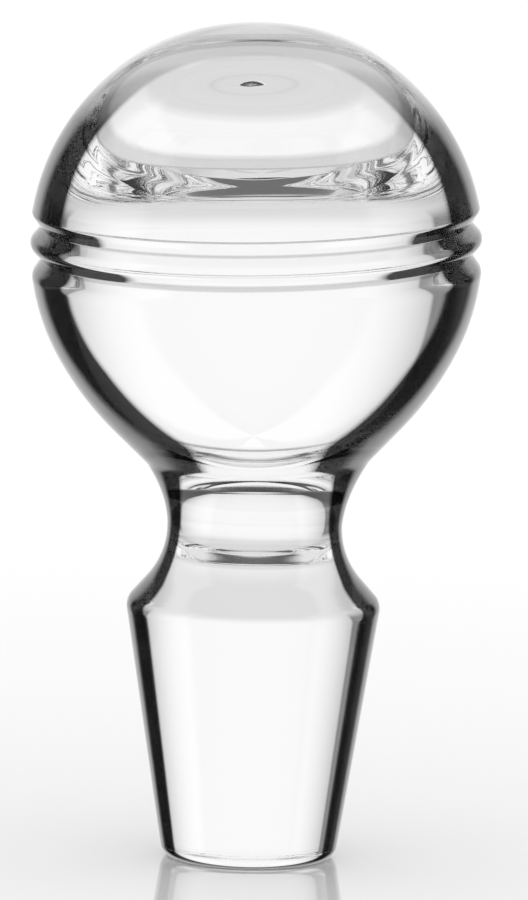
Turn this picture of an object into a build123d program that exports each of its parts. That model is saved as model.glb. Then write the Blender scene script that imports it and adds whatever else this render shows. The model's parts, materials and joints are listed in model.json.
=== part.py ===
from build123d import *
from math import acos, cos, degrees, exp, radians, sin, sqrt, tan
import os

# Solid glass ball stopper for a bottle or decanter, in millimetres.
# Origin: centre of the flat foot, on the axis of the tapered plug. +Z runs up the plug to the ball.

# Tapered plug, round the Z axis, standing on its flat foot
gauge_z = 26.0               # height of the gauge ring near the top of the cone
gauge_r = 13.8               # the cone's radius there
plug_half_angle = 9.0        # the cone's angle from its axis
foot_round = 1.5             # round between the cone and the flat foot

# Shoulder above the cone, and the hollow that runs from it up to the waist
waist_z = 37.3
waist_in = 4.05              # the waist is this much narrower than the gauge ring
hollow_r = 8.9               # radius of the hollow below the waist
shoulder_angle = 41.35       # the shoulder's upper flank, from the axis
shoulder_round = 2.0

# Upper neck, which ends in a fine ring where the ball was joined on slightly off true
upper_neck = 7.5             # from the waist up to the ring's centre
ring_r = 12.5
ring_offset_x = 0.26         # the ring's centre lies this far off the plug's axis
ball_lean = 1.6              # degrees by which the ball's top leans towards -X
neck_power = 1.8             # the neck's radius grows with this power of the height above the waist

# Ball, turned about its own axis
ball_r = 25.16               # below the beaded band
dome_step = 0.12             # the dome above the band is this much larger
swell = 0.15                 # the pressed dome stands this far outside its sphere, round the crown
swell_angle = 29.0           # degrees from the crown
swell_width = 12.5
crown_drop = 0.2             # the crown itself is pressed this much flatter
crown_width = 13.0
sphere_end_angle = 117.4     # degrees from the crown at which the sphere eases into the flank

# Beaded band: two V grooves with a round bead between them, at heights from the ball's centre
dome_end_h = 5.3             # the dome's curve ends here
dome_edge_h = 4.3            # corner above the upper groove
dome_edge_round = 0.6
groove_depth = 1.24
upper_groove_h = 2.7
bead_h = 0.97
bead_peak = 0.34             # the bead's flanks would meet this far outside the ball without the round
bead_round = 1.1
lower_groove_h = -0.85
lip_h = -2.5                 # corner below the lower groove
lip_end_h = -3.8             # the lower sphere starts here
lip_round = 1.6

# Conical flank under the ball, down to the ring
flank_half_angle = 44.5
flank_stand = 0.45           # its line passes this far outside the sphere
flank_top_angle = 141.2      # degrees from the crown at which its straight part starts

DOME_POINTS = 14             # points that carry the dome's formula
NECK_SECTIONS = 6            # round sections between the waist and the ring

waist_r = gauge_r - waist_in
dome_r = ball_r + dome_step
flank = radians(flank_half_angle)
ring_h = (ring_r * cos(flank) - ball_r - flank_stand) / sin(flank)


def at_angle(radius, angle):
    """Point of an outline at an angle from the crown."""
    return radius * sin(radians(angle)), radius * cos(radians(angle))


def at_height(radius, h):
    """Point of a sphere's outline at a height from its centre."""
    return sqrt(radius**2 - h**2), h


def on_tangent(radius, touch_h, h):
    """Point at height h on the line that touches a sphere's outline at touch_h."""
    touch_r = at_height(radius, touch_h)[0]
    return touch_r + (touch_h - h) * touch_h / touch_r, h


def dome_point(angle):
    """Point of the dome's outline, swollen round the crown and pressed flat on it."""
    risen = swell * exp(-(((angle - swell_angle) / swell_width) ** 2))
    pressed = crown_drop * exp(-((angle / crown_width) ** 2))
    return at_angle(dome_r + risen - pressed, angle)


def plug():
    """Foot, cone, shoulder and the lower half of the neck's hollow."""
    cone_slope = tan(radians(plug_half_angle))
    shoulder_slope = tan(radians(shoulder_angle))
    foot_r = gauge_r - gauge_z * cone_slope
    hollow_end_r = waist_r + hollow_r * (1 - cos(radians(shoulder_angle)))
    hollow_end_z = waist_z - hollow_r * sin(radians(shoulder_angle))
    shoulder_z = (hollow_end_r + hollow_end_z * shoulder_slope - foot_r) / (cone_slope + shoulder_slope)
    shoulder_r = foot_r + shoulder_z * cone_slope
    with BuildPart() as part:
        with BuildSketch(Plane.XZ):
            with BuildLine():
                side = FilletPolyline(
                    (0, 0),
                    (foot_r, 0),
                    (shoulder_r, shoulder_z),
                    (hollow_end_r, hollow_end_z),
                    radius=[foot_round, shoulder_round],
                )
                TangentArc(side @ 1, (waist_r, waist_z), tangent=side % 1)
                Polyline((waist_r, waist_z), (0, waist_z), (0, 0))
            make_face()
        revolve(axis=Axis.Z)
    return part.part


def ball():
    """Dome, beaded band, lower sphere and conical flank, about the ball's own centre."""
    dome_end_angle = degrees(acos(dome_end_h / dome_r))
    dome_angles = [dome_end_angle * i / DOME_POINTS for i in range(DOME_POINTS)]
    lip_end = at_height(ball_r, lip_end_h)
    sphere_middle = at_angle(ball_r, (sphere_end_angle + degrees(acos(lip_end_h / ball_r))) / 2)
    sphere_end = at_angle(ball_r, sphere_end_angle)
    flank_angle_off = radians(flank_top_angle - 90) - flank
    flank_top = at_angle((ball_r + flank_stand) / cos(flank_angle_off), flank_top_angle)
    with BuildPart() as part:
        with BuildSketch(Plane.XZ):
            with BuildLine():
                Spline([*map(dome_point, dome_angles), at_height(dome_r, dome_end_h)])
                FilletPolyline(
                    at_height(dome_r, dome_end_h),
                    on_tangent(dome_r, dome_end_h, dome_edge_h),
                    (ball_r - groove_depth, upper_groove_h),
                    (ball_r + bead_peak, bead_h),
                    (ball_r - groove_depth, lower_groove_h),
                    on_tangent(ball_r, lip_end_h, lip_h),
                    lip_end,
                    radius=[dome_edge_round, 0, bead_round, 0, lip_round],
                )
                ThreePointArc(lip_end, sphere_middle, sphere_end)
                Spline(
                    [sphere_end, flank_top],
                    tangents=[at_angle(1, sphere_end_angle + 90), (-sin(flank), -cos(flank))],
                )
                Polyline(flank_top, (ring_r, ring_h), (0, ring_h), dome_point(0))
            make_face()
        revolve(axis=Axis.Z)
    return part.part


def neck(ring_centre):
    """Upper neck: round sections that grow, shift and lean from the waist to the ring."""
    with BuildPart() as part:
        for i in range(NECK_SECTIONS + 1):
            t = i / NECK_SECTIONS
            centre = Vector(0, 0, waist_z) * (1 - t) + ring_centre * t
            with BuildSketch(Plane(centre) * Rot(0, -ball_lean * t, 0)):
                Circle(waist_r + (ring_r - waist_r) * t**neck_power)
        loft()
    return part.part


ring_centre = Vector(ring_offset_x, 0, waist_z + upper_neck)
ball_place = Location(ring_centre) * Rot(0, -ball_lean, 0) * Location((0, 0, -ring_h))
stopper = plug() + neck(ring_centre) + ball_place * ball()
stopper.label = "stopper"

os.makedirs("parts", exist_ok=True)
export_step(stopper, "parts/stopper.step")
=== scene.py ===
import json
import math

import bpy
from mathutils import Matrix, Vector


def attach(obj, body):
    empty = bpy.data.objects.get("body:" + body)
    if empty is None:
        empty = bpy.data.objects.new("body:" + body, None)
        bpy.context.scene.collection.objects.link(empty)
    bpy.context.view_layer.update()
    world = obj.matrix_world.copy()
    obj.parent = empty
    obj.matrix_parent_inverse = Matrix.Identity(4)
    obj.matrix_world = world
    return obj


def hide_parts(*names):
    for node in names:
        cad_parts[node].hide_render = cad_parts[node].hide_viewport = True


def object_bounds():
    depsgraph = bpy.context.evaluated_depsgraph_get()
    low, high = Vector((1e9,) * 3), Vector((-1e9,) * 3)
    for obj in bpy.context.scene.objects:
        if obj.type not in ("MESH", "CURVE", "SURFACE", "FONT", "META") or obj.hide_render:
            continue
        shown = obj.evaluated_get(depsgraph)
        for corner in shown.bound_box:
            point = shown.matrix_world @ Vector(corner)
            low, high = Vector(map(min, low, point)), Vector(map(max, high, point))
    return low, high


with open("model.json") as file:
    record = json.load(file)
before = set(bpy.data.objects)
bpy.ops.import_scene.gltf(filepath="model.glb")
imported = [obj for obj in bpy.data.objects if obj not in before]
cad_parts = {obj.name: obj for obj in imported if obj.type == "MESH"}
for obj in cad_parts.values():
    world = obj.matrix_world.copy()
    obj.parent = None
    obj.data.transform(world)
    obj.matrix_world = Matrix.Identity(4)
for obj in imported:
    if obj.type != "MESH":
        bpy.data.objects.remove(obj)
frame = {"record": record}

CAD_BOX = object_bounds()
MM = 0.001

# Plug, shoulder and the neck's hollow, in millimetres, as in the solid that the skin replaces
GAUGE_Z, GAUGE_R, PLUG_ANGLE = 26.0, 13.8, 9.0
FOOT_ROUND = 1.5
WAIST_Z, WAIST_R = 37.3, 9.75
HOLLOW_R, SHOULDER_ANGLE, SHOULDER_ROUND = 8.9, 41.35, 2.0
UPPER_NECK, RING_R, RING_OFFSET_X, BALL_LEAN, NECK_POWER = 7.5, 12.5, 0.26, 1.6, 1.8

# Ball, with heights from its own centre
BALL_R, DOME_STEP = 25.16, 0.12
SWELL, SWELL_ANGLE, SWELL_WIDTH = 0.15, 29.0, 12.5
CROWN_DROP, CROWN_WIDTH = 0.2, 13.0
SPHERE_END_ANGLE = 117.4
DOME_END_H, DOME_EDGE_H, DOME_EDGE_ROUND = 5.3, 4.3, 0.6
GROOVE_DEPTH, UPPER_GROOVE_H, LOWER_GROOVE_H, GROOVE_ROUND = 1.24, 2.7, -0.85, 0.08
BEAD_H, BEAD_PEAK, BEAD_ROUND = 0.97, 0.34, 1.1
LIP_H, LIP_END_H, LIP_ROUND = -2.5, -3.8, 1.6
FLANK_ANGLE, FLANK_STAND, FLANK_TOP_ANGLE = 44.5, 0.45, 141.2

DOME_R = BALL_R + DOME_STEP
FLANK = math.radians(FLANK_ANGLE)
RING_H = (RING_R * math.cos(FLANK) - BALL_R - FLANK_STAND) / math.sin(FLANK)

SEGMENTS = 300               # round the axis
ARC_STEP = math.radians(5)   # turn between two points of a small round
PLUG_STEP, BAND_STEP = 1.2, 0.5      # millimetres, at most, between points on the straights
HOLLOW_POINTS, NECK_POINTS, FLANK_POINTS = 14, 20, 8
EASE_POINTS, SPHERE_POINTS, DOME_POINTS = 16, 16, 56
WELD = 0.004                 # points this many millimetres apart or nearer are joined
RING_SLACK = 0.001           # millimetres past the ring that still count as neck


# ---- the outline -------------------------------------------------------------------------

def at_angle(radius, angle):
    """Point of an outline at an angle from the crown."""
    return Vector((radius * math.sin(math.radians(angle)), radius * math.cos(math.radians(angle))))


def at_height(radius, h):
    """Point of a sphere's outline at a height from its centre."""
    return Vector((math.sqrt(radius**2 - h**2), h))


def on_tangent(radius, touch_h, h):
    """Point at height h on the line that touches a sphere's outline at touch_h."""
    touch_r = at_height(radius, touch_h).x
    return Vector((touch_r + (touch_h - h) * touch_h / touch_r, h))


def dome_point(angle):
    """Point of the dome's outline, swollen round the crown and pressed flat on it."""
    risen = SWELL * math.exp(-(((angle - SWELL_ANGLE) / SWELL_WIDTH) ** 2))
    pressed = CROWN_DROP * math.exp(-((angle / CROWN_WIDTH) ** 2))
    return at_angle(DOME_R + risen - pressed, angle)


def stretch(start, end, count):
    """Points on a straight line, without its end."""
    return [start.lerp(end, i / count) for i in range(count)]


def ease(start, start_way, end, end_way, count):
    """Points on a smooth curve that leaves and arrives along the given ways, without its end."""
    reach = (end - start).length
    points = []
    for i in range(count):
        t = i / count
        points.append(
            start * (2 * t**3 - 3 * t**2 + 1)
            + start_way.normalized() * reach * (t**3 - 2 * t**2 + t)
            + end * (3 * t**2 - 2 * t**3)
            + end_way.normalized() * reach * (t**3 - t**2)
        )
    return points


def step_on(points, end, step):
    """Points from the last one towards the end, no further apart than the step."""
    count = max(1, math.ceil((end - points[-1]).length / step))
    return stretch(points[-1], end, count)[1:]


def rounded(corners, radii, step):
    """Points along a line of corners with each inner corner rounded, and straights cut to steps."""
    points = [corners[0]]
    for before, corner, after, radius in zip(corners, corners[1:], corners[2:], radii):
        back = (before - corner).normalized()
        on = (after - corner).normalized()
        half = back.angle(on) / 2
        centre = corner + (back + on).normalized() * radius / math.sin(half)
        start = corner + back * radius / math.tan(half)
        turn = math.pi - 2 * half
        count = max(2, math.ceil(turn / ARC_STEP))
        sign = 1 if (start - centre).cross(corner + on - centre) > 0 else -1
        points += step_on(points, start, step)
        for i in range(count + 1):
            points.append(centre + Matrix.Rotation(sign * turn * i / count, 2) @ (start - centre))
    return points + step_on(points, corners[-1], step)


def hollow_point(angle):
    """Point of the hollow below the waist, at an angle from the waist."""
    return Vector((WAIST_R + HOLLOW_R * (1 - math.cos(angle)), WAIST_Z - HOLLOW_R * math.sin(angle)))


def plug_outline():
    """Foot, cone, shoulder and lower hollow, from the foot's centre up to the waist."""
    cone_slope = math.tan(math.radians(PLUG_ANGLE))
    shoulder = math.radians(SHOULDER_ANGLE)
    shoulder_slope = math.tan(shoulder)
    foot_r = GAUGE_R - GAUGE_Z * cone_slope
    end_r, end_z = hollow_point(shoulder)
    shoulder_z = (end_r + end_z * shoulder_slope - foot_r) / (cone_slope + shoulder_slope)
    corners = [(0, 0), (foot_r, 0), (foot_r + shoulder_z * cone_slope, shoulder_z), (end_r, end_z)]
    points = rounded([Vector(c) for c in corners], [FOOT_ROUND, SHOULDER_ROUND], PLUG_STEP)
    return points + [hollow_point(shoulder * (1 - i / HOLLOW_POINTS)) for i in range(HOLLOW_POINTS)]


def neck_outline():
    """Upper neck, from the waist to just under the ring."""
    points = []
    for i in range(NECK_POINTS):
        t = i / NECK_POINTS
        points.append(Vector((WAIST_R + (RING_R - WAIST_R) * t**NECK_POWER, WAIST_Z + UPPER_NECK * t)))
    return points


def ball_outline():
    """Ball from the ring up to the crown, with heights from its own centre."""
    off = math.radians(FLANK_TOP_ANGLE - 90) - FLANK
    flank_top = at_angle((BALL_R + FLANK_STAND) / math.cos(off), FLANK_TOP_ANGLE)
    sphere_end = at_angle(BALL_R, SPHERE_END_ANGLE)
    lip_end = at_height(BALL_R, LIP_END_H)
    lip_angle = math.degrees(math.acos(LIP_END_H / BALL_R))
    dome_end = math.degrees(math.acos(DOME_END_H / DOME_R))
    groove_r = BALL_R - GROOVE_DEPTH
    points = stretch(Vector((RING_R, RING_H)), flank_top, FLANK_POINTS)
    points += ease(flank_top, Vector((math.sin(FLANK), math.cos(FLANK))), sphere_end,
                   -at_angle(1, SPHERE_END_ANGLE + 90), EASE_POINTS)
    for i in range(SPHERE_POINTS):
        points.append(at_angle(BALL_R, SPHERE_END_ANGLE + (lip_angle - SPHERE_END_ANGLE) * i / SPHERE_POINTS))
    points += rounded(
        [lip_end, on_tangent(BALL_R, LIP_END_H, LIP_H), Vector((groove_r, LOWER_GROOVE_H)),
         Vector((BALL_R + BEAD_PEAK, BEAD_H)), Vector((groove_r, UPPER_GROOVE_H)),
         on_tangent(DOME_R, DOME_END_H, DOME_EDGE_H), at_height(DOME_R, DOME_END_H)],
        [LIP_ROUND, GROOVE_ROUND, BEAD_ROUND, GROOVE_ROUND, DOME_EDGE_ROUND], BAND_STEP)
    return points + [dome_point(dome_end * (1 - i / DOME_POINTS)) for i in range(DOME_POINTS + 1)]


# ---- shader sums -------------------------------------------------------------------------

def smooth_step(tree, value, low, high):
    """0 below low, 1 above high, smooth between."""
    node = tree.nodes.new("ShaderNodeMapRange")
    node.interpolation_type = "SMOOTHSTEP"
    tree.links.new(value, node.inputs["Value"])
    node.inputs["From Min"].default_value = low
    node.inputs["From Max"].default_value = high
    return node.outputs["Result"]


def maths(tree, kind, first, second=None):
    """One sum on numbers or sockets."""
    node = tree.nodes.new("ShaderNodeMath")
    node.operation = kind
    for slot, value in ((0, first), (1, second)):
        if value is None:
            continue
        if isinstance(value, (int, float)):
            node.inputs[slot].default_value = value
        else:
            tree.links.new(value, node.inputs[slot])
    return node.outputs[0]


def smooth_fall(tree, value, low, high):
    """1 below low, 0 above high, smooth between."""
    return maths(tree, "SUBTRACT", 1, smooth_step(tree, value, low, high))


def blend(tree, share, first, second):
    """First value where the share is 0, second where it is 1."""
    node = tree.nodes.new("ShaderNodeMix")
    for name, value in (("Factor", share), ("A", first), ("B", second)):
        if isinstance(value, (int, float)):
            node.inputs[name].default_value = value
        else:
            tree.links.new(value, node.inputs[name])
    return node.outputs["Result"]


def parts_of(tree, place):
    """The X, Y and Z of a place."""
    split = tree.nodes.new("ShaderNodeSeparateXYZ")
    tree.links.new(place, split.inputs[0])
    return split.outputs


def vector_sum(tree, kind, first, second=None):
    """One sum on vectors, of which the second is a plain value."""
    node = tree.nodes.new("ShaderNodeVectorMath")
    node.operation = kind
    tree.links.new(first, node.inputs[0])
    if second is not None:
        node.inputs[1].default_value = second
    return node.outputs


def is_bent(tree, path):
    """1 for light that was last mirrored or passed through glass, 0 for all other light."""
    return maths(tree, "MAXIMUM", path.outputs["Is Glossy Ray"], path.outputs["Is Transmission Ray"])


# ---- the glass ---------------------------------------------------------------------------

def spin_outline(name, points):
    """Spins an outline round Z into a closed skin and returns the object."""
    mesh = bpy.data.meshes.new(name)
    edges = [(i, i + 1) for i in range(len(points) - 1)]
    mesh.from_pydata([(p.x * MM, 0, p.y * MM) for p in points], edges, [])
    piece = bpy.data.objects.new(name, mesh)
    bpy.context.scene.collection.objects.link(piece)
    bpy.ops.object.select_all(action="DESELECT")
    piece.select_set(True)
    bpy.context.view_layer.objects.active = piece
    bpy.ops.object.mode_set(mode="EDIT")
    bpy.ops.mesh.select_all(action="SELECT")
    bpy.ops.mesh.spin(steps=SEGMENTS, angle=math.tau, center=(0, 0, 0), axis=(0, 0, 1))
    bpy.ops.mesh.select_all(action="SELECT")
    bpy.ops.mesh.remove_doubles(threshold=WELD * MM)
    bpy.ops.mesh.normals_make_consistent(inside=False)
    bpy.ops.object.mode_set(mode="OBJECT")
    return piece


def foot_centre():
    """Where the foot's centre stands, in metres."""
    return Vector(frame["record"]["mounts"][0]["pos_m"])


def lean_by(share):
    """The turn of a part that leans by a share of the ball's lean."""
    return Matrix.Rotation(math.radians(-BALL_LEAN * share), 3, "Y")


def ring_place():
    """The ring's centre over the foot, in metres."""
    return Vector((RING_OFFSET_X, 0, WAIST_Z + UPPER_NECK)) * MM


def ball_centre():
    """The ball's centre in metres, off true over the foot."""
    return ring_place() + lean_by(1) @ Vector((0, 0, -RING_H * MM)) + foot_centre()


def lean_ball(piece):
    """Shifts and leans the ball about its ring, and bends the upper neck to meet it."""
    waist_z = WAIST_Z * MM
    ring_centre = ring_place()
    neck_top = ring_centre.z + RING_SLACK * MM
    neck_r = (RING_R + RING_SLACK) * MM
    for vertex in piece.data.vertices:
        if vertex.co.z <= waist_z:
            continue
        share, centre = 1, ring_centre
        if vertex.co.z <= neck_top and vertex.co.xy.length < neck_r:
            share = min(1, (vertex.co.z - waist_z) / (ring_centre.z - waist_z))
            centre = Vector((0, 0, waist_z)).lerp(ring_centre, share)
        vertex.co = centre + lean_by(share) @ (vertex.co - Vector((0, 0, centre.z)))


def blow_stopper():
    """The whole stopper as one dense skin, so that what it bends looks smooth."""
    ball_base = WAIST_Z + UPPER_NECK - RING_H
    outline = plug_outline() + neck_outline() + [p + Vector((0, ball_base)) for p in ball_outline()]
    piece = spin_outline("stopper_glass", outline)
    lean_ball(piece)
    foot = foot_centre()
    for vertex in piece.data.vertices:
        vertex.co += foot
    bpy.ops.object.shade_smooth()
    return piece


GLASS_IOR = 1.545
# The second colour is painted shade at the rims and in the grooves, and the flaws' own dark
GLASS_CLEAR, GLASS_PAINTED_SHADE_AND_FLAW = (0.995, 0.995, 0.995, 1), (0.004, 0.004, 0.004, 1)
EVEN_SLANT = 0.5                              # leaves the slant as it is
RIM_SHADE_START, RIM_SHADE_END = 0.465, 0.505           # painted rim shade between these slants; the slant is 0 square on to the skin, 1 along it
COLOUR_A, COLOUR_B, COLOUR_OUT = 6, 7, 2      # the Mix node's sockets for colours

# Places and depths on the glass, in metres
CROWN_LOW, CROWN_HIGH, CROWN_SHADE_CUT = 0.083, 0.091, 0.55        # the painted rim shade is weaker on the crown
WAVE_SCALE, WAVE_DETAIL, WAVE_STRENGTH, WAVE_DEPTH = 55.0, 2.0, 0.35, 0.00006
LAP_TOP, LAP_FADE, LAP_SCALE, LAP_TWIST, LAP_DETAIL = 0.0325, 0.001, 900.0, 2.5, 3.0
LAP_STRENGTH, LAP_DEPTH, LAP_WORN, LAP_FRESH = 0.25, 0.00001, 0.4, 0.6
SMUDGE_SCALE, SMUDGE_DETAIL, SMUDGE_START, SMUDGE_END, SMUDGE_ROUGH = 38.0, 3.0, 0.60, 0.74, 0.05
LINE_H, LINE_CORE, LINE_REACH, EDGE_LINE_SHADE = 0.00435, 0.00004, 0.00016, 0.6   # painted shade along the edge under the dome
PIT_R, PIT_FADE, GROOVE_PIT_SHADE = 0.02412, 0.00016, 0.5              # painted shade in the bottoms of the two grooves

# Small flaws in the glass: place, radius, and how much light they stop
FLAWS = [((0.0076, -0.0236, 0.0717), 0.00022, 0.9), ((-0.0032, -0.0246, 0.0655), 0.00018, 0.6)]
FLAW_CORE, FLAW_REACH = 0.6, 1.2              # shares of the radius


def noise(tree, place, scale, detail):
    """Soft blotches that run from 0 to 1."""
    node = tree.nodes.new("ShaderNodeTexNoise")
    node.inputs["Scale"].default_value = scale
    node.inputs["Detail"].default_value = detail
    tree.links.new(place, node.inputs["Vector"])
    return node.outputs["Fac"]


def bumped(tree, height, strength, depth, under=None):
    """The skin's slope with a height laid on it, over another slope if there is one."""
    node = tree.nodes.new("ShaderNodeBump")
    node.inputs["Distance"].default_value = depth
    node.inputs["Strength"].default_value = strength
    tree.links.new(height, node.inputs["Height"])
    if under is not None:
        tree.links.new(under, node.inputs["Normal"])
    return node.outputs["Normal"]


def worked_skin(tree, place, height):
    """Faint waves all over, and the lapping marks that ring the plug."""
    waves = bumped(tree, noise(tree, place, WAVE_SCALE, WAVE_DETAIL), WAVE_STRENGTH, WAVE_DEPTH)
    laps = tree.nodes.new("ShaderNodeTexWave")
    laps.bands_direction = "Z"
    laps.inputs["Scale"].default_value = LAP_SCALE
    laps.inputs["Distortion"].default_value = LAP_TWIST
    laps.inputs["Detail"].default_value = LAP_DETAIL
    tree.links.new(place, laps.inputs["Vector"])
    on_plug = smooth_fall(tree, height, LAP_TOP - LAP_FADE, LAP_TOP + LAP_FADE)
    worn = smooth_step(tree, noise(tree, place, SMUDGE_SCALE, SMUDGE_DETAIL), LAP_WORN, LAP_FRESH)
    rings = maths(tree, "MULTIPLY", maths(tree, "MULTIPLY", laps.outputs["Fac"], on_plug), worn)
    return bumped(tree, rings, LAP_STRENGTH, LAP_DEPTH, waves)


def painted_groove_shade(tree, place):
    """Painted shade along the sharp edge under the dome and in the two groove bottoms."""
    lean = math.radians(BALL_LEAN)
    arm = vector_sum(tree, "SUBTRACT", place, ball_centre())["Vector"]
    length = vector_sum(tree, "LENGTH", arm)["Value"]
    rise = vector_sum(tree, "DOT_PRODUCT", arm, (-math.sin(lean), 0, math.cos(lean)))["Value"]
    off = maths(tree, "ABSOLUTE", maths(tree, "SUBTRACT", rise, LINE_H))
    line = maths(tree, "MULTIPLY", smooth_fall(tree, off, LINE_CORE, LINE_REACH), EDGE_LINE_SHADE)
    pit = maths(tree, "MULTIPLY", smooth_fall(tree, length, PIT_R, PIT_R + PIT_FADE), GROOVE_PIT_SHADE)
    return maths(tree, "MAXIMUM", line, pit)


def flaws(tree, place):
    """How much light the small flaws stop, 0 elsewhere."""
    found = 0.0
    for centre, radius, stop in FLAWS:
        gap = vector_sum(tree, "DISTANCE", place, centre)["Value"]
        near = smooth_fall(tree, gap, radius * FLAW_CORE, radius * FLAW_REACH)
        found = maths(tree, "MAXIMUM", found, maths(tree, "MULTIPLY", near, stop))
    return found


def glass_tint_with_painted_shade(tree, place, height):
    """Clear glass with painted shade where it is looked at along its skin and in the grooves, and dark in the
    flaws.
    """
    slant = tree.nodes.new("ShaderNodeLayerWeight")
    slant.inputs["Blend"].default_value = EVEN_SLANT
    # the painted rim shade is cut on the crown
    crown = smooth_step(tree, height, CROWN_LOW, CROWN_HIGH)
    kept = maths(tree, "SUBTRACT", 1, maths(tree, "MULTIPLY", crown, CROWN_SHADE_CUT))
    # painted rim shade: darker where the skin is seen edge on
    along = smooth_step(tree, slant.outputs["Facing"], RIM_SHADE_START, RIM_SHADE_END)
    # painted shade along the dome's edge and in the grooves, with the flaws' own dark
    marks = maths(tree, "MAXIMUM", painted_groove_shade(tree, place), flaws(tree, place))
    tint = tree.nodes.new("ShaderNodeMix")
    tint.data_type = "RGBA"
    tree.links.new(maths(tree, "MAXIMUM", maths(tree, "MULTIPLY", along, kept), marks), tint.inputs["Factor"])
    tint.inputs[COLOUR_A].default_value = GLASS_CLEAR
    tint.inputs[COLOUR_B].default_value = GLASS_PAINTED_SHADE_AND_FLAW
    return tint.outputs[COLOUR_OUT]


def clear_glass():
    """Polished colourless glass with faint waves, lapping rings and smudges."""
    glass = bpy.data.materials.new("clear_glass")
    glass.use_nodes = True
    tree = glass.node_tree
    shader = tree.nodes["Principled BSDF"]
    place = tree.nodes.new("ShaderNodeTexCoord").outputs["Object"]
    height = parts_of(tree, place)["Z"]
    tree.links.new(glass_tint_with_painted_shade(tree, place, height), shader.inputs["Base Color"])
    smudged = smooth_step(tree, noise(tree, place, SMUDGE_SCALE, SMUDGE_DETAIL), SMUDGE_START, SMUDGE_END)
    tree.links.new(maths(tree, "MULTIPLY", smudged, SMUDGE_ROUGH), shader.inputs["Roughness"])
    tree.links.new(worked_skin(tree, place, height), shader.inputs["Normal"])
    shader.inputs["Transmission Weight"].default_value = 1.0
    shader.inputs["IOR"].default_value = GLASS_IOR
    return glass


# ---- the table and the room --------------------------------------------------------------

# Directions in degrees: a height above the horizon, or an azimuth away from the Y axis
PANEL_TOP, TOP_EDGE = 52.0, 2.5               # bright panels stand before and behind the stopper
PANEL_HALF, PANEL_EDGE, PANEL_SKEW = 46.0, 1.5, 3.0
FADE_START, FADE_DEPTH, FADE_POWER = 19.0, 0.5, 2.0     # they fade towards their edges
SIDE_START, SIDE_EDGE, SIDE_GLOW = 63.0, 6.0, 0.85      # a panel to each side
GAP_GLOW, GAP_BEFORE = 0.12, 0.6              # grey room between the panels, lighter before the stopper
OVERHEAD_START, OVERHEAD_END, OVERHEAD_GLOW = 67.0, 72.0, 0.9
FLOOR_START, FLOOR_EDGE, FLOOR_GLOW = -17.0, 8.0, 0.76  # the floor is a little duller than the panels
FLOOR_SIDE, FLOOR_FADE = 0.5, 16.0            # and duller still to the sides
DARK_GLOW, DARK_HIGH, DARK_HIGH_EDGE = 0.13, -46.0, 4.0     # a dark strip of it, low before the stopper
DARK_LOW, DARK_LOW_EDGE = -60.0, 2.0
ROOM_GLOW = 0.012
GLOSS_HALF, GLOSS_EDGE = 32.0, 6.0            # what the skin mirrors of the panels is narrower
GLOSS_BEFORE = 0.1                            # and it hardly mirrors the one before the stopper


def within(tree, value, half, edge):
    """1 where the value is under half, 0 above, smooth between."""
    return smooth_fall(tree, value, half - edge, half + edge)


def past(tree, value, start, edge):
    """0 where the value is under the start, 1 above, smooth between."""
    return smooth_step(tree, value, start - edge, start + edge)


def panel_ring(tree, aside, panel, before):
    """The panels and the grey gaps between them."""
    away = tree.nodes.new("ShaderNodeMapRange")
    tree.links.new(aside, away.inputs["Value"])
    away.inputs["From Min"].default_value = FADE_START
    away.inputs["From Max"].default_value = PANEL_HALF
    fall = maths(tree, "MULTIPLY", maths(tree, "POWER", away.outputs["Result"], FADE_POWER), FADE_DEPTH)
    bright = maths(tree, "SUBTRACT", panel, maths(tree, "MULTIPLY", fall, panel))
    gap = blend(tree, before, GAP_GLOW, GAP_BEFORE)
    side = past(tree, aside, SIDE_START, SIDE_EDGE)
    return maths(tree, "MAXIMUM", bright, blend(tree, side, gap, SIDE_GLOW))


def floor_below(tree, aside, height, panel, before):
    """The white floor, with a dark strip low before the stopper."""
    floor = blend(tree, within(tree, aside, PANEL_HALF, FLOOR_FADE), FLOOR_SIDE, FLOOR_GLOW)
    strip = blend(tree, maths(tree, "MULTIPLY", before, panel), floor, DARK_GLOW)
    low = maths(tree, "SUBTRACT", past(tree, height, DARK_LOW, DARK_LOW_EDGE),
                past(tree, height, DARK_HIGH, DARK_HIGH_EDGE))
    return blend(tree, low, floor, strip)


def room_seen_through(tree, aside, height, before):
    """What the glass shows: panels on four sides and overhead, grey between them, and the floor."""
    panel = within(tree, aside, PANEL_HALF, PANEL_EDGE)
    ring = panel_ring(tree, aside, panel, before)
    floor = floor_below(tree, aside, height, panel, before)
    round_it = blend(tree, past(tree, height, FLOOR_START, FLOOR_EDGE), floor, ring)
    low = maths(tree, "MULTIPLY", round_it, within(tree, height, PANEL_TOP, TOP_EDGE))
    overhead = smooth_step(tree, height, OVERHEAD_START, OVERHEAD_END)
    return maths(tree, "MAXIMUM", low, maths(tree, "MULTIPLY", overhead, OVERHEAD_GLOW))


def room_mirrored(tree, aside, height, before):
    """What the skin mirrors: narrower panels, and little of the one before the stopper."""
    facing = maths(tree, "MULTIPLY", within(tree, aside, GLOSS_HALF, GLOSS_EDGE),
                   blend(tree, before, 1.0, GLOSS_BEFORE))
    lit = maths(tree, "MAXIMUM", facing, past(tree, aside, SIDE_START, SIDE_EDGE))
    return maths(tree, "MULTIPLY", lit, within(tree, height, PANEL_TOP, TOP_EDGE))


def in_degrees(tree, angle):
    """An angle in degrees."""
    return maths(tree, "MULTIPLY", angle, math.degrees(1))


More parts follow.
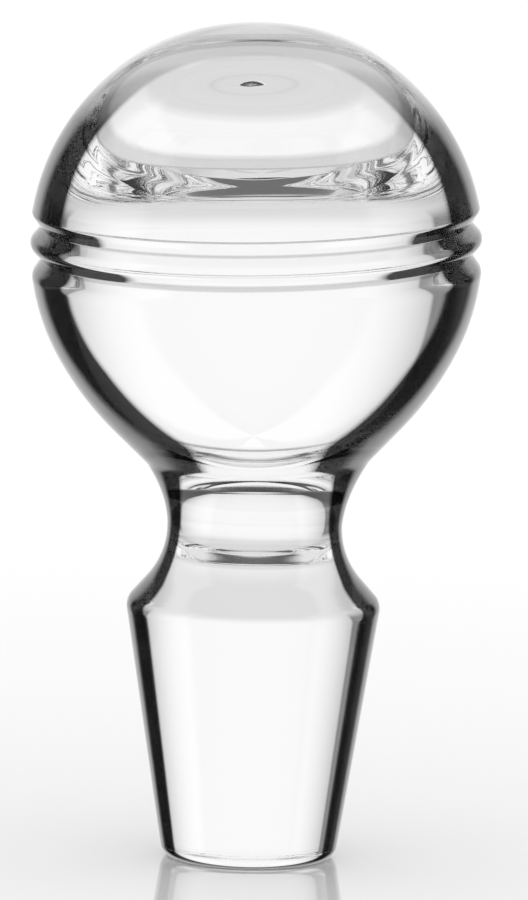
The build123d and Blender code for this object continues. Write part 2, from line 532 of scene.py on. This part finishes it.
def studio_room():
    """The lit room that the glass shows, and a plain white to the eye and for the light."""
    world = bpy.data.worlds.new("studio_room")
    bpy.context.scene.world = world
    world.use_nodes = True
    tree = world.node_tree
    tree.nodes.clear()
    x, y, z = parts_of(tree, tree.nodes.new("ShaderNodeTexCoord").outputs["Generated"])
    height = in_degrees(tree, maths(tree, "ARCSINE", z))
    turn = maths(tree, "ARCTAN2", maths(tree, "ABSOLUTE", x), maths(tree, "ABSOLUTE", y))
    aside = in_degrees(tree, turn)
    before = maths(tree, "LESS_THAN", y, 0.0)
    hand = maths(tree, "SIGN", maths(tree, "MULTIPLY", x, y))
    skewed = maths(tree, "SUBTRACT", aside, maths(tree, "MULTIPLY", hand, PANEL_SKEW))
    path = tree.nodes.new("ShaderNodeLightPath")
    seen = blend(tree, path.outputs["Is Transmission Ray"], room_mirrored(tree, aside, height, before),
                 room_seen_through(tree, skewed, height, before))
    lit = maths(tree, "MAXIMUM", seen, ROOM_GLOW)
    background = tree.nodes.new("ShaderNodeBackground")
    background.inputs["Color"].default_value = (1, 1, 1, 1)
    tree.links.new(blend(tree, is_bent(tree, path), 1.0, lit), background.inputs["Strength"])
    out = tree.nodes.new("ShaderNodeOutputWorld")
    tree.links.new(background.outputs[0], out.inputs["Surface"])


SHEET_WHITE, SHEET_ROUGH = 0.9, 0.06
SHEET_PAINTED_GLOW = 0.09                             # painted light: lifts the sheet towards white, away from the foot, so it is darker round the foot
GLOW_START, GLOW_END = 0.0, 0.30              # metres from the foot
SHEET_SIZE, SHEET_GAP = 12, 0.00002           # metres across, and metres under the foot


def sheet_with_painted_glow(tree, place, path):
    """Glossy white paint with a faint painted glow, seen only by the camera, that grows away from the foot.
    """
    away = vector_sum(tree, "LENGTH", place)["Value"]
    # painted light, seen only by the camera
    painted_paler = maths(tree, "MULTIPLY", smooth_step(tree, away, GLOW_START, GLOW_END), SHEET_PAINTED_GLOW)
    glow = tree.nodes.new("ShaderNodeEmission")
    tree.links.new(maths(tree, "MULTIPLY", painted_paler, path.outputs["Is Camera Ray"]), glow.inputs["Strength"])
    paint = tree.nodes.new("ShaderNodeBsdfPrincipled")
    paint.inputs["Base Color"].default_value = (SHEET_WHITE, SHEET_WHITE, SHEET_WHITE, 1)
    paint.inputs["Roughness"].default_value = SHEET_ROUGH
    lifted = tree.nodes.new("ShaderNodeAddShader")
    tree.links.new(paint.outputs[0], lifted.inputs[0])
    tree.links.new(glow.outputs[0], lifted.inputs[1])
    return lifted.outputs[0]


def table_surface():
    """White sheet to the eye, and open air to the glass, which shows the room instead."""
    surface = bpy.data.materials.new("white_sheet")
    surface.use_nodes = True
    tree = surface.node_tree
    tree.nodes.clear()
    place = tree.nodes.new("ShaderNodeTexCoord").outputs["Object"]
    path = tree.nodes.new("ShaderNodeLightPath")
    open_air = tree.nodes.new("ShaderNodeBsdfTransparent")
    mix = tree.nodes.new("ShaderNodeMixShader")
    tree.links.new(is_bent(tree, path), mix.inputs[0])
    tree.links.new(sheet_with_painted_glow(tree, place, path), mix.inputs[1])
    tree.links.new(open_air.outputs[0], mix.inputs[2])
    out = tree.nodes.new("ShaderNodeOutputMaterial")
    tree.links.new(mix.outputs[0], out.inputs["Surface"])
    return surface


def lay_table():
    """The sheet, a hair below the foot."""
    bpy.ops.object.select_all(action="DESELECT")
    bpy.ops.mesh.primitive_plane_add(size=SHEET_SIZE, location=(0, 0, CAD_BOX[0].z - SHEET_GAP))
    table = bpy.context.object
    table.name = "table"
    bpy.ops.object.transform_apply(location=True)
    table.data.materials.append(table_surface())


# ---- the camera --------------------------------------------------------------------------

CAMERA_HEIGHT = 9.3          # degrees above the horizon
CAMERA_ROLL = 1.1            # degrees
CAMERA_FAR = 2.2             # metres
VIEW_HEIGHT = 0.10026        # metres across the picture's long side, at the stopper
AIM = Vector((0.877, 0, 45.9)) * MM         # what it looks at


def set_camera():
    """A long lens that looks slightly down on the stopper."""
    lens = bpy.data.cameras.new("camera")
    camera = bpy.data.objects.new("camera", lens)
    bpy.context.scene.collection.objects.link(camera)
    rise = math.radians(CAMERA_HEIGHT)
    back = Vector((0, -math.cos(rise), math.sin(rise)))
    camera.location = AIM + back * CAMERA_FAR
    roll = Matrix.Rotation(math.radians(CAMERA_ROLL), 3, "Z")
    turn = (-back).to_track_quat("-Z", "Y").to_matrix() @ roll
    camera.rotation_euler = turn.to_euler()
    lens.lens = lens.sensor_width * CAMERA_FAR / VIEW_HEIGHT
    bpy.context.scene.camera = camera


LIGHT_TURNS = 18             # light turns many times inside the ball before it leaves


def let_light_through():
    """Follows light through all its turns inside the glass."""
    cycles = bpy.context.scene.cycles
    cycles.max_bounces = LIGHT_TURNS
    cycles.glossy_bounces = LIGHT_TURNS
    cycles.transmission_bounces = LIGHT_TURNS


set_camera()
let_light_through()
bpy.context.scene.view_settings.view_transform = "Standard"
studio_room()
lay_table()
stopper = blow_stopper()
stopper.data.materials.append(clear_glass())
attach(stopper, "root")
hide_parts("stopper")
